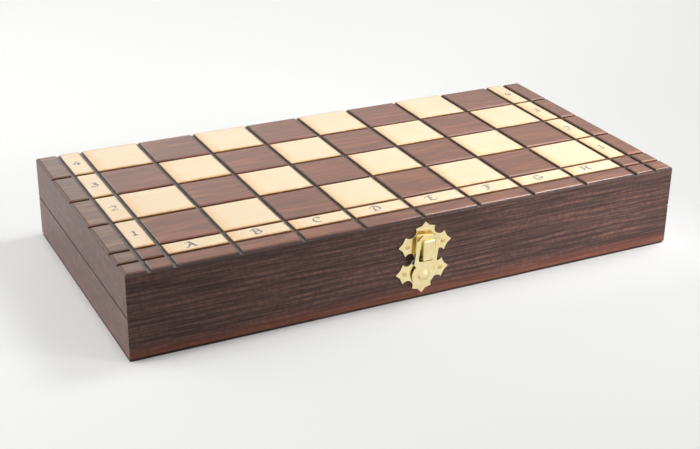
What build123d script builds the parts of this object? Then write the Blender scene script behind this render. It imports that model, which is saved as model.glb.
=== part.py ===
"""Chess box with a hinged lid: two shallow trays whose outer faces are the two halves of a chessboard.

The box stands closed on the playing face of its base. +X runs along the front from the A file to the
H file, +Y runs back to the hinges and +Z runs up. The origin is the middle of the base's playing face.
The lid's pieces are drawn where they lie and the base's are their mirror images about the parting plane.
"""

import os
from math import atan2, cos, radians, sin

from build123d import *

os.makedirs("parts", exist_ok=True)

# ---------------------------------------------------------------- playing board (millimetres)
square = 32.0  # pitch of the playing squares
files = 8  # squares along the box
ranks = 4  # squares from front to back on one half
strip = 12.5  # width of the lettered and numbered strips
border = 11.5  # width of the dark border outside the strips
kerf_width = 2.0  # saw-cut groove between neighbouring cells
kerf_depth = 1.2
ease_width = 0.7  # eased shoulder on each side of a groove
ease_depth = 0.4
tile_thickness = 2.0  # light pieces, let into the dark board
edge_round = 1.6  # rounded outer edge of the board

# ---------------------------------------------------------------- trays
half_height = 22.2  # one tray, from playing face to rim
rim_gap = 0.2  # seam between the closed rims
panel_thickness = 4.0
wall = 7.0
rim_round = 0.4  # rounded outer edge of the rims

# ---------------------------------------------------------------- hinges
hinge_inset = 52.0  # from each end of the box to the middle of a hinge
hinge_length = 20.0
knuckle_count = 5
knuckle_radius = 2.0
hinge_pin_radius = 0.9
pin_clearance = 0.05  # pin in its knuckles, on the radius
axis_setback = 0.15  # hinge axis behind the back faces
knuckle_gap = 0.2  # along the pin, between neighbouring knuckles
barrel_clearance = 0.3  # round the barrel, to wood and to the other leaf
leaf_thickness = 0.8
leaf_margin = 1.1  # wood left between a leaf and the inside of the tray
leaf_fit = 0.1  # at the ends of a leaf in its mortise
pin_head_radius = 1.3
pin_head_height = 0.5
pin_head_bevel = 0.3
leaf_nail_spacing = 12.0
leaf_nail_radius = 0.7
leaf_nail_head_radius = 1.4
leaf_nail_head_height = 0.6
leaf_nail_length = 9.0

# ---------------------------------------------------------------- latch plates
latch_places = {"lid": 0.9, "base": -0.2}  # along the front; a little out of line, as nailed by hand
plate_thickness = 0.7
plate_bevel = 0.15  # softened front edge of the stamped plates
plate_edge = 0.7  # from the parting plane to the near edge of a plate
plate_shoulder = (6.1, 1.7)  # corner beside the near edge, from the middle of the parting line
shoulder_slant = 0.5  # the near edge is this much shorter than the shoulder at each end
side_leaf_centre = (10.0, 7.3)
side_leaf_tip = 4.8
side_leaf_point = 5.4
side_leaf_notch = 3.25
side_leaf_spread = 81.0  # degrees from a leaf's middle point to its outer points
end_leaf_centre = (0.0, 13.9)
end_leaf_tip = 5.5
end_leaf_point = 6.0
end_leaf_notch = 3.9
end_leaf_spread = 66.0
outer_scallop = (7.1, 11.7)  # deepest point between the end leaf and a side leaf
inner_scallop = (8.1, 3.3)  # deepest point between a side leaf and the shoulder
plate_nail_radius = 0.6
plate_nail_head_radius = 1.25
plate_nail_head_height = 0.55
nail_fit = 0.03  # a nail in its hole, on the radius
nail_stop = 0.8  # wood left in front of a nail's point
nail_point = 2.0  # length of every nail's point, in shank radii

# ---------------------------------------------------------------- lug and hasp
lug_width = 6.7
lug_bottom = 0.2  # above the parting plane
lug_top = 10.9
lug_reach = 4.8  # out from the plate
lug_round = 0.7  # edge round the lug's front face
lug_corner = 0.9  # corners of the lug seen from the front
lug_sheet = 0.7  # walls of the lug
hasp_sheet = 0.8
hasp_bevel = 0.15
hasp_lean = 5.0  # degrees; the bow stands off the plates when it is closed
hasp_swing = 14.0  # degrees; enough for the bow to clear the lug
hasp_foot_gap = 0.2  # between the foot of the disc and its plate
disc_radius = 6.3
disc_drop = 8.8  # from the parting plane down to the middle of the disc
bow_half_width = 6.3
bow_width = 1.9  # top bar of the bow
bow_corner = (2.6, 3.2)  # cut off the bow's upper corners
bow_flare = 5.9  # foot of the bow's straight sides, above the middle of the disc
bow_neck = (4.2, 3.9)  # where the bow grows out of the disc, from the middle of the disc
window_half_width = 4.1
window_drop = 1.1  # window's lower edge, below the parting plane
window_clearance = 0.75  # window's upper edge, above the lug
window_round = 1.0
rivet_radius = 1.1
rivet_head_radius = 3.2
rivet_head_height = 1.9
rivet_tail_radius = 2.6
rivet_tail_height = 0.6
rivet_clearance = 0.35  # round the rivet and its tail when the hasp is tilted

# ---------------------------------------------------------------- worked out from the above
length = files * square + 2 * (strip + border)
depth = ranks * square + strip + border
front = -depth / 2
back = depth / 2
field_left = -files * square / 2
field_front = front + border + strip
parting = half_height + rim_gap / 2
height = 2 * half_height + rim_gap
lid_rim = half_height + rim_gap
wall_height = half_height - panel_thickness
tile_side = square - kerf_width
strip_side = strip - kerf_width

parting_plane = Plane.XY.offset(parting)
lid_face = Plane.XY.offset(height)
rim_plane = Plane.XY.offset(lid_rim)


def keep(piece, name):
    """Label a finished piece and write it to its own file."""
    piece.label = name
    export_step(piece, f"parts/{name}.step")


def turned_over(piece):
    """The same piece on the other half of the box, a mirror image about the parting plane."""
    with BuildPart() as other_half:
        mirror(piece, about=parting_plane)
    return other_half.part


# ---------------------------------------------------------------- playing boards
def line_positions(first, count, step):
    """Places of the grooves round `count` cells of width `step`, the first at `first`."""
    return [first + step * index for index in range(count + 1)]


groove_x = [-length / 2 + border] + line_positions(field_left, files, square) + [length / 2 - border]
groove_y = [front + border] + line_positions(field_front, ranks, square)[:-1]


def groove_profile():
    """Section of one groove: a straight kerf with eased shoulders, open at the playing face."""
    with BuildLine() as outline:
        half = kerf_width / 2
        Polyline(
            (-half - ease_width, ease_depth),
            (-half - ease_width, 0),
            (-half, -ease_depth),
            (-half, -kerf_depth),
            (half, -kerf_depth),
            (half, -ease_depth),
            (half + ease_width, 0),
            (half + ease_width, ease_depth),
            close=True,
        )
    return make_face(outline.line)


profile = groove_profile()

with BuildPart() as grooves:
    with BuildSketch(Plane(origin=(0, back, height), x_dir=(1, 0, 0), z_dir=(0, -1, 0))):
        with Locations(*[(x, 0) for x in groove_x]):
            add(profile)
    extrude(amount=depth)
    with BuildSketch(Plane(origin=(-length / 2, 0, height), x_dir=(0, 1, 0), z_dir=(1, 0, 0))):
        with Locations(*[(y, 0) for y in groove_y]):
            add(profile)
    extrude(amount=length)


def square_centres(parity):
    """Centres of the playing squares whose file and rank numbers add up to `parity`, odd or even."""
    return [
        (field_left + square * (file + 0.5), field_front + square * (rank + 0.5))
        for file in range(files)
        for rank in range(ranks)
        if (file + rank) % 2 == parity
    ]


letter_centres = [(field_left + square * (file + 0.5), field_front - strip / 2) for file in range(files)]
number_centres = [
    (side * (files * square + strip) / 2, field_front + square * (rank + 0.5))
    for side in (-1, 1)
    for rank in range(ranks)
]


def light_squares(parity):
    """The light playing squares of one half, with the grooves' eased edges."""
    with BuildPart() as tiles:
        with BuildSketch(lid_face):
            with Locations(*square_centres(parity)):
                Rectangle(tile_side, tile_side)
        extrude(amount=-tile_thickness)
        add(grooves.part, mode=Mode.SUBTRACT)
    return tiles.part


with BuildPart() as light_strips:
    with BuildSketch(lid_face):
        with Locations(*letter_centres):
            Rectangle(tile_side, strip_side)
        with Locations(*number_centres):
            Rectangle(strip_side, tile_side)
    extrude(amount=-tile_thickness)
    add(grooves.part, mode=Mode.SUBTRACT)


def dark_board(parity):
    """The dark board of one half, with rounded edges, grooves and pockets for the light pieces."""
    with BuildPart() as board:
        with BuildSketch(lid_face):
            Rectangle(length, depth)
        extrude(amount=-panel_thickness)
        fillet(board.faces().sort_by(Axis.Z)[-1].edges(), edge_round)
        add(grooves.part, mode=Mode.SUBTRACT)
        with BuildSketch(lid_face):
            with Locations(*square_centres(parity)):
                Rectangle(tile_side, tile_side)
            with Locations(*letter_centres):
                Rectangle(tile_side, strip_side)
            with Locations(*number_centres):
                Rectangle(strip_side, tile_side)
        extrude(amount=-tile_thickness, mode=Mode.SUBTRACT)
    return board.part


# A1 is dark, at the front left of the lid, and the base carries on the pattern past the hinges.
lid_parity = 1
base_parity = 1 - lid_parity
keep(dark_board(lid_parity), "lid_panel")
keep(light_squares(lid_parity), "lid_light_squares")
keep(light_strips.part, "lid_light_strips")
keep(turned_over(dark_board(base_parity)), "base_panel")
keep(turned_over(light_squares(base_parity)), "base_light_squares")
keep(turned_over(light_strips.part), "base_light_strips")


# ---------------------------------------------------------------- hinge layout
hinge_y = back + axis_setback
leaf_inner = back - wall + leaf_margin
knuckle_pitch = hinge_length / knuckle_count
knuckle_length = knuckle_pitch - knuckle_gap
barrel_room = hinge_length / 2 + pin_head_height + barrel_clearance
nail_y = (leaf_inner + hinge_y - knuckle_radius - barrel_clearance) / 2
hinge_places = {"left": hinge_inset - length / 2, "right": length / 2 - hinge_inset}
leaf_nail_places = [
    (x + side * leaf_nail_spacing / 2, nail_y) for x in hinge_places.values() for side in (-1, 1)
]


def across(x):
    """Plane square to the hinge axis at `x`, with its origin on the axis."""
    return Plane(origin=(x, hinge_y, parting), x_dir=(0, 1, 0), z_dir=(1, 0, 0))


def leaf_nail(extra=0.0):
    """A countersunk leaf nail standing on its head, `extra` larger all round for its hole."""
    shank = leaf_nail_radius + extra
    head = leaf_nail_head_radius + extra
    with BuildSketch(Plane.XZ) as section:
        with BuildLine():
            Polyline(
                (0, 0),
                (head, 0),
                (shank, leaf_nail_head_height),
                (shank, leaf_nail_length - nail_point * leaf_nail_radius),
                (0, leaf_nail_length),
                close=True,
            )
        make_face()
    return revolve(section.sketch, Axis.Z)


leaf_nail_body = leaf_nail()
leaf_nail_hole = leaf_nail(nail_fit)

with BuildPart(rim_plane) as lid_leaf_nails:
    with Locations(*leaf_nail_places):
        add(leaf_nail_body)

with BuildPart(rim_plane) as lid_leaf_nail_holes:
    with Locations(*leaf_nail_places):
        add(leaf_nail_hole)


# ---------------------------------------------------------------- latch layout
def around(centre, reach, angle):
    """Point at `reach` from `centre`, at `angle` degrees from +X."""
    return (centre[0] + reach * cos(radians(angle)), centre[1] + reach * sin(radians(angle)))


latch_planes = {
    half: Plane(origin=(x, front, parting), x_dir=(1, 0, 0), z_dir=(0, -1, 0))
    for half, x in latch_places.items()
}
plate_nails = {
    "lid": [side_leaf_centre, (-side_leaf_centre[0], side_leaf_centre[1]), end_leaf_centre],
    "base": [side_leaf_centre, (-side_leaf_centre[0], side_leaf_centre[1])],
}
plate_nail_length = plate_thickness + wall - nail_stop

# The closed hasp leans out from the foot of its disc, and the joint turns about that foot.
lean = radians(hasp_lean)
foot_y = front - plate_thickness - hasp_foot_gap
foot_z = parting - disc_drop - disc_radius
disc_middle = (latch_places["base"], foot_y - disc_radius * sin(lean), foot_z + disc_radius * cos(lean))
# The disc is turned on its rivet until the bow is in line with the lug.
lug_middle = (0, (lug_bottom + lug_top) / 2)
bow_turn = atan2(latch_places["lid"] - latch_places["base"], disc_drop + lug_middle[1])
hasp_plane = Plane(
    origin=disc_middle,
    x_dir=(cos(bow_turn), sin(bow_turn) * sin(lean), -sin(bow_turn) * cos(lean)),
    z_dir=(0, -cos(lean), -sin(lean)),
)
hasp_outward = Axis(disc_middle, tuple(hasp_plane.z_dir))
tilt = radians(hasp_lean + hasp_swing)
# Depth of the plate's back and of the rivet's tail, measured along the tilted rivet from the disc.
plate_back_depth = (hasp_foot_gap + plate_thickness + disc_radius * sin(tilt)) / cos(tilt)
rivet_tail_depth = plate_back_depth + rivet_tail_radius * sin(tilt) + rivet_clearance
rivet_rise = disc_radius * cos(tilt) + plate_back_depth * sin(tilt) - disc_radius
rivet_hole_centre = (0, -disc_drop + rivet_rise / 2)
rivet_hole_radius = rivet_radius + rivet_rise / 2 + rivet_clearance
recess_depth = (
    rivet_tail_depth + rivet_tail_height + rivet_clearance - hasp_foot_gap - plate_thickness
)
recess_radius = rivet_tail_radius + rivet_rise + rivet_clearance


def domed_section(head_radius, head_height, seat, shank_radius):
    """Lines from the top of a domed head, over its rim, in to its shank at height `seat`."""
    ball = (head_radius**2 + head_height**2) / (2 * head_height)
    RadiusArc((0, seat + head_height), (head_radius, seat), ball)
    Line((head_radius, seat), (shank_radius, seat))


def latch_nails(half):
    """Domed nails through a latch plate and into the wall behind it."""
    tip = plate_thickness - plate_nail_length
    with BuildSketch(Plane.XZ) as section:
        with BuildLine():
            domed_section(
                plate_nail_head_radius, plate_nail_head_height, plate_thickness, plate_nail_radius
            )
            Polyline(
                (plate_nail_radius, plate_thickness),
                (plate_nail_radius, tip + nail_point * plate_nail_radius),
                (0, tip),
                (0, plate_thickness + plate_nail_head_height),
            )
        make_face()
    nail = revolve(section.sketch, Axis.Z)
    with BuildPart(latch_planes[half]) as nails:
        with Locations(*plate_nails[half]):
            add(nail)
    return nails.part


keep(latch_nails("lid"), "latch_lid_nails")
keep(turned_over(latch_nails("base")), "latch_base_nails")


# ---------------------------------------------------------------- mitred walls
def mitred_wall(side):
    """One plain wall of the lid's frame, mitred at both ends, with its rounded outer rim."""
    inner_x = length / 2 - wall
    inner_y = depth / 2 - wall
    corners = {
        "front": [(-length / 2, front), (length / 2, front), (inner_x, -inner_y), (-inner_x, -inner_y)],
        "back": [(-length / 2, back), (length / 2, back), (inner_x, inner_y), (-inner_x, inner_y)],
        "left": [(-length / 2, front), (-length / 2, back), (-inner_x, inner_y), (-inner_x, -inner_y)],
        "right": [(length / 2, front), (length / 2, back), (inner_x, inner_y), (inner_x, -inner_y)],
    }[side]
    outer_axis, outer_end = {
        "front": (Axis.Y, 0),
        "back": (Axis.Y, -1),
        "left": (Axis.X, 0),
        "right": (Axis.X, -1),
    }[side]
    with BuildPart() as frame_wall:
        with BuildSketch(rim_plane):
            with BuildLine():
                Polyline(*corners, close=True)
            make_face()
        extrude(amount=wall_height)
        rim_edges = frame_wall.faces().sort_by(Axis.Z)[0].edges()
        fillet(rim_edges.sort_by(outer_axis)[outer_end], rim_round)
    return frame_wall.part


def back_wall():
    """The lid's back wall, with mortises for the leaves and room for the barrels."""
    with BuildPart() as frame_wall:
        add(mitred_wall("back"))
        with BuildSketch(rim_plane):
            with Locations(*[(x, (leaf_inner + back) / 2) for x in hinge_places.values()]):
                Rectangle(hinge_length + 2 * leaf_fit, back - leaf_inner)
        extrude(amount=leaf_thickness, mode=Mode.SUBTRACT)
        for x in hinge_places.values():
            with BuildSketch(across(x)):
                Circle(knuckle_radius + barrel_clearance)
            extrude(amount=barrel_room, both=True, mode=Mode.SUBTRACT)
        add(lid_leaf_nail_holes.part, mode=Mode.SUBTRACT)
    return frame_wall.part


def front_wall(half):
    """The lid's front wall, bored for the latch nails of one half of the box."""
    with BuildPart() as frame_wall:
        add(mitred_wall("front"))
        with BuildSketch(latch_planes[half]):
            with Locations(*plate_nails[half]):
                Circle(plate_nail_radius + nail_fit)
        extrude(amount=plate_thickness - plate_nail_length, mode=Mode.SUBTRACT)
    return frame_wall.part


lid_back_wall = back_wall()
keep(lid_back_wall, "lid_back_wall")
keep(turned_over(lid_back_wall), "base_back_wall")
for side in ("left", "right"):
    side_wall = mitred_wall(side)
    keep(side_wall, f"lid_{side}_wall")
    keep(turned_over(side_wall), f"base_{side}_wall")
keep(front_wall("lid"), "lid_front_wall")

with BuildPart() as base_front_wall:
    add(turned_over(front_wall("base")))
    with BuildSketch(latch_planes["base"]):
        with Locations(rivet_hole_centre):
            Circle(recess_radius)
    extrude(amount=-recess_depth, mode=Mode.SUBTRACT)
keep(base_front_wall.part, "base_front_wall")


# ---------------------------------------------------------------- hinges
def hinge_leaf(x, own_knuckles):
    """The lid's leaf of the hinge at `x`: a plate in the rim with its own knuckles rolled on."""
    start = x - hinge_length / 2
    others = [index for index in range(knuckle_count) if index not in own_knuckles]
    with BuildPart() as leaf:
        with BuildSketch(rim_plane):
            with Locations((x, (leaf_inner + hinge_y) / 2)):
                Rectangle(hinge_length, hinge_y - leaf_inner)
        extrude(amount=leaf_thickness)
        for index in others:
            with BuildSketch(across(start + knuckle_pitch * index - knuckle_gap / 2)):
                Circle(knuckle_radius + barrel_clearance)
            extrude(amount=knuckle_pitch + knuckle_gap, mode=Mode.SUBTRACT)
        for index in own_knuckles:
            with BuildSketch(across(start + knuckle_pitch * index + knuckle_gap / 2)):
                Circle(knuckle_radius)
            extrude(amount=knuckle_length)
        with BuildSketch(across(start)):
            Circle(hinge_pin_radius + pin_clearance)
        extrude(amount=hinge_length, mode=Mode.SUBTRACT)
        add(lid_leaf_nail_holes.part, mode=Mode.SUBTRACT)
    return leaf.part


def hinge_pin(x):
    """Pin through the knuckles of the hinge at `x`, peened over at both ends."""
    half = hinge_length / 2
    with BuildPart() as pin:
        with BuildSketch(across(x)):
            Circle(hinge_pin_radius)
        extrude(amount=half, both=True)
        for end in (-1, 1):
            with BuildSketch(across(x + end * half)):
                Circle(pin_head_radius)
            extrude(amount=end * pin_head_height)
        rims = pin.edges().filter_by(GeomType.CIRCLE).sort_by(Axis.X)
        chamfer([rims[0], rims[-1]], pin_head_bevel)
    return pin.part


base_knuckles = range(0, knuckle_count, 2)
lid_knuckles = range(1, knuckle_count, 2)
for place, x in hinge_places.items():
    keep(hinge_leaf(x, lid_knuckles), f"hinge_{place}_lid_leaf")
    keep(turned_over(hinge_leaf(x, base_knuckles)), f"hinge_{place}_base_leaf")
    keep(hinge_pin(x), f"hinge_{place}_pin")
keep(lid_leaf_nails.part, "hinge_lid_nails")
keep(turned_over(lid_leaf_nails.part), "hinge_base_nails")


# ---------------------------------------------------------------- latch plates
def leaf_outline(centre, heading, spread, tip, point, notch):
    """Five points round a three-pointed leaf: outer point, notch, tip, notch, outer point."""
    return [
        around(centre, point, heading + spread),
        around(centre, notch, heading + spread / 2),
        around(centre, tip, heading),
        around(centre, notch, heading - spread / 2),
        around(centre, point, heading - spread),
    ]


def latch_plate(half):
    """Upper plate of the latch: an end leaf and two side leaves joined by scallops."""
    side_leaf = leaf_outline(
        side_leaf_centre, 0, side_leaf_spread, side_leaf_tip, side_leaf_point, side_leaf_notch
    )
    end_leaf = leaf_outline(
        end_leaf_centre, 90, end_leaf_spread, end_leaf_tip, end_leaf_point, end_leaf_notch
    )
    with BuildPart() as plate:
        with BuildSketch(latch_planes[half]):
            with BuildLine():
                Polyline(*end_leaf[2:])
                ThreePointArc(end_leaf[4], outer_scallop, side_leaf[0])
                Polyline(*side_leaf)
                ThreePointArc(side_leaf[4], inner_scallop, plate_shoulder)
                Polyline(plate_shoulder, (plate_shoulder[0] - shoulder_slant, plate_edge), (0, plate_edge))
                mirror(about=Plane.YZ)
            make_face()
        extrude(amount=plate_thickness)
        chamfer(plate.faces().sort_by(Axis.Y)[0].outer_wire().edges(), plate_bevel)
        with BuildSketch(latch_planes[half]):
            with Locations(*plate_nails[half]):
                Circle(plate_nail_radius + nail_fit)
        extrude(amount=plate_thickness, mode=Mode.SUBTRACT)
    return plate.part


# The lug is a box pushed out of the sheet, hollow behind and rounded in front.
lug_height = lug_top - lug_bottom

with BuildPart() as lug:
    with BuildSketch(latch_planes["lid"]):
        with Locations(lug_middle):
            RectangleRounded(lug_width, lug_height, lug_corner)
    extrude(amount=plate_thickness + lug_reach)
    fillet(lug.faces().sort_by(Axis.Y)[0].edges(), lug_round)

with BuildPart() as latch_lid_plate:
    add(latch_plate("lid"))
    add(lug.part)
    with BuildSketch(latch_planes["lid"]):
        with Locations(lug_middle):
            Rectangle(lug_width - 2 * lug_sheet, lug_height - 2 * lug_sheet)
    extrude(amount=plate_thickness + lug_reach - lug_sheet, mode=Mode.SUBTRACT)
keep(latch_lid_plate.part, "latch_lid_plate")

with BuildPart() as latch_base_plate:
    add(turned_over(latch_plate("base")))
    with BuildSketch(latch_planes["base"]):
        with Locations(rivet_hole_centre):
            Circle(rivet_hole_radius)
    extrude(amount=plate_thickness, mode=Mode.SUBTRACT)
keep(latch_base_plate.part, "latch_base_plate")


# ---------------------------------------------------------------- hasp and rivet
window_bottom = disc_drop - window_drop  # from the middle of the disc
window_top = disc_drop + lug_top + window_clearance
bow_top = window_top + bow_width

with BuildPart() as latch_hasp:
    with BuildSketch(hasp_plane):
        Circle(disc_radius)
        with BuildLine():
            Polyline(
                (0, bow_top),
                (bow_half_width - bow_corner[0], bow_top),
                (bow_half_width, bow_top - bow_corner[1]),
                (bow_half_width, bow_flare),
                bow_neck,
                (0, bow_neck[1]),
            )
            mirror(about=Plane.YZ)
        make_face()
        with Locations((0, (window_bottom + window_top) / 2)):
            RectangleRounded(
                2 * window_half_width, window_top - window_bottom, window_round, mode=Mode.SUBTRACT
            )
    extrude(amount=hasp_sheet)
    chamfer(latch_hasp.faces().sort_by(hasp_outward)[-1].edges(), hasp_bevel)
    with BuildSketch(hasp_plane):
        Circle(rivet_radius + nail_fit)
    extrude(amount=hasp_sheet, mode=Mode.SUBTRACT)
keep(latch_hasp.part, "latch_hasp")

with BuildSketch(Plane.XZ) as rivet_section:
    with BuildLine():
        domed_section(rivet_head_radius, rivet_head_height, hasp_sheet, rivet_radius)
        Polyline(
            (rivet_radius, hasp_sheet),
            (rivet_radius, -rivet_tail_depth),
            (rivet_tail_radius, -rivet_tail_depth),
            (rivet_tail_radius, -rivet_tail_depth - rivet_tail_height),
            (0, -rivet_tail_depth - rivet_tail_height),
            (0, hasp_sheet + rivet_head_height),
        )
    make_face()
rivet_body = revolve(rivet_section.sketch, Axis.Z)

with BuildPart(hasp_plane) as latch_rivet:
    add(rivet_body)
keep(latch_rivet.part, "latch_rivet")
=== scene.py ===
"""Chess box with a hinged lid: finishes of wood, paint and brass, printed coordinates and a studio.

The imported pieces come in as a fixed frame, in metres. +X runs along the front from the A file to
the H file, +Y runs back to the hinges and +Z runs up. The operators below finish the pieces in
place, add the letters and numbers of the playing board, and light the box on a pale floor.
"""

import math

import bmesh
import bpy
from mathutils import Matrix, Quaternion, Vector
from mathutils.geometry import interpolate_bezier


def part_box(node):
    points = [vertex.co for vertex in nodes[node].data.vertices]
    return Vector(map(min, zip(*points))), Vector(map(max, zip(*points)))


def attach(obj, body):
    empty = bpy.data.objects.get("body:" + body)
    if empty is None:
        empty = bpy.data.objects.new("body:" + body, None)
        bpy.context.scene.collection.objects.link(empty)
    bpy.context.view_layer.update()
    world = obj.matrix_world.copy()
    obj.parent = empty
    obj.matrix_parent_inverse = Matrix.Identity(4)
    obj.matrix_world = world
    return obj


bl_info = {
    "name": "Chess box with hinged lid",
    "version": (1, 0, 0),
    "blender": (4, 5, 0),
    "location": "3D View > Sidebar > Chess Box",
    "description": "Finishes, printed coordinates and a studio for a folding chessboard box",
    "category": "Object",
}

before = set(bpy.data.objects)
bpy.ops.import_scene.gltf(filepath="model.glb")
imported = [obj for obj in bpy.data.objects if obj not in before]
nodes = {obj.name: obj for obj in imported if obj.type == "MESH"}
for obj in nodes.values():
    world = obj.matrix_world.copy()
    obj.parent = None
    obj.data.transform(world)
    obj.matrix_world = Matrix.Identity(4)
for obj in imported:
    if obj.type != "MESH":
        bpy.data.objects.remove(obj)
MM = 0.001

# ---------------------------------------------------------------- places read from the frame
lid_low, lid_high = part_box("lid_panel")
base_low, base_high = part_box("base_panel")
tile_low, tile_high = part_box("lid_light_squares")
strip_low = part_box("lid_light_strips")[0]
wall_low, wall_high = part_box("lid_left_wall")

FILES = 8
RANKS = 4
half_length = lid_high.x
half_depth = lid_high.y
top = lid_high.z
bottom = base_low.z
parting = (top + bottom) / 2
wall = wall_high.x - wall_low.x
# Width of a saw-cut groove: the back squares stop half of it short of the edge.
kerf = 2 * (half_depth - tile_high.y)
square = (tile_high.x - tile_low.x + kerf) / FILES
field_left = -FILES * square / 2
field_front = half_depth - RANKS * square
strip_front = strip_low.y - kerf / 2
strip_left = strip_low.x - kerf / 2
tray_floor = base_high.z
tray_roof = lid_low.z
PANELS = (("lid_panel", top), ("base_panel", bottom))


# ---------------------------------------------------------------- sizes and colours to set
class ChessBoxWood(bpy.types.PropertyGroup):
    """Stains, paint and bare wood."""

    board_stain: bpy.props.FloatVectorProperty(
        name="Board stain", description="Brown stain of the dark playing squares",
        subtype="COLOR", size=3, default=(0.211, 0.077, 0.037),
    )
    frame_stain: bpy.props.FloatVectorProperty(
        name="Frame stain", description="Darker stain of the outer walls",
        subtype="COLOR", size=3, default=(0.080, 0.044, 0.038),
    )
    light_wood: bpy.props.FloatVectorProperty(
        name="Light wood", description="Varnished pale wood of the light squares and strips",
        subtype="COLOR", size=3, default=(0.825, 0.655, 0.442),
    )
    scorch: bpy.props.FloatVectorProperty(
        name="Scorch", description="Warm brown where stain has crept into the light wood",
        subtype="COLOR", size=3, default=(0.62, 0.30, 0.11),
    )
    bare_wood: bpy.props.FloatVectorProperty(
        name="Bare wood", description="Unfinished wood inside the trays",
        subtype="COLOR", size=3, default=(0.66, 0.49, 0.31),
    )
    groove_paint: bpy.props.FloatVectorProperty(
        name="Groove paint", description="Dark paint in the saw-cut grooves",
        subtype="COLOR", size=3, default=(0.028, 0.019, 0.015),
    )
    groove_floor: bpy.props.FloatVectorProperty(
        name="Groove floor", description="Thin stain on the floor of the grooves",
        subtype="COLOR", size=3, default=(0.125, 0.106, 0.094),
    )
    gloss: bpy.props.FloatProperty(
        name="Varnish roughness", description="Roughness of the satin varnish",
        min=0.05, max=1.0, default=0.30,
    )


class ChessBoxMarks(bpy.types.PropertyGroup):
    """Letters and numbers printed on the strips."""

    cap_height: bpy.props.FloatProperty(
        name="Letter height", description="Height of a printed letter",
        unit="LENGTH", default=5.5 * MM,
    )
    digit_height: bpy.props.FloatProperty(
        name="Number height", description="Height of a printed number",
        unit="LENGTH", default=5.3 * MM,
    )
    nib: bpy.props.FloatProperty(
        name="Nib width", description="Width of the broad pen, in letter heights",
        default=0.19,
    )
    hairline: bpy.props.FloatProperty(
        name="Hairline", description="Width of the thinnest stroke, in letter heights",
        default=0.05,
    )
    nib_angle: bpy.props.FloatProperty(
        name="Nib angle", description="Slant of the broad pen",
        subtype="ANGLE", default=math.radians(38),
    )
    ink: bpy.props.FloatVectorProperty(
        name="Ink", description="Colour of the printed letters",
        subtype="COLOR", size=3, default=(0.175, 0.16, 0.15),
    )


class ChessBoxBrass(bpy.types.PropertyGroup):
    """Pale brass of the latch, hinges and nails."""

    metal: bpy.props.FloatVectorProperty(
        name="Brass", description="Colour of the plated brass",
        subtype="COLOR", size=3, default=(0.93, 0.80, 0.46),
    )
    polish: bpy.props.FloatProperty(
        name="Brass roughness", description="Roughness of the plating",
        min=0.02, max=1.0, default=0.20,
    )


class ChessBoxStudio(bpy.types.PropertyGroup):
    """Floor, lamps and camera."""

    floor: bpy.props.FloatVectorProperty(
        name="Floor", description="Colour of the pale floor",
        subtype="COLOR", size=3, default=(0.92, 0.92, 0.905),
    )
    floor_glow: bpy.props.FloatProperty(
        name="Floor evenness", description="How far the floor keeps its own colour to the eye",
        min=0.0, max=1.0, default=0.6,
    )
    key_power: bpy.props.FloatProperty(
        name="Key lamp", description="Power of the soft lamp on the right",
        unit="POWER", default=3.65,
    )
    low_power: bpy.props.FloatProperty(
        name="Low lamp", description="Power of the low lamp at the right end",
        unit="POWER", default=0.42,
    )
    surroundings: bpy.props.FloatProperty(
        name="Surroundings", description="Strength of the white screens all round", default=1.0,
    )
    lens: bpy.props.FloatProperty(
        name="Lens", description="Focal length of the camera", unit="CAMERA", default=70.5,
    )
    eye: bpy.props.FloatVectorProperty(
        name="Camera place", description="Where the camera stands",
        subtype="TRANSLATION", size=3, default=(-0.3072, -0.6048, 0.3209),
    )
    aim: bpy.props.FloatVectorProperty(
        name="Camera aim", description="Point that the camera looks at",
        subtype="TRANSLATION", size=3, default=(-0.0025, -0.0008, 0.0089),
    )
    roll: bpy.props.FloatProperty(
        name="Camera roll", description="Turn of the camera about its line of sight",
        subtype="ANGLE", default=math.radians(0.84),
    )


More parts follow.
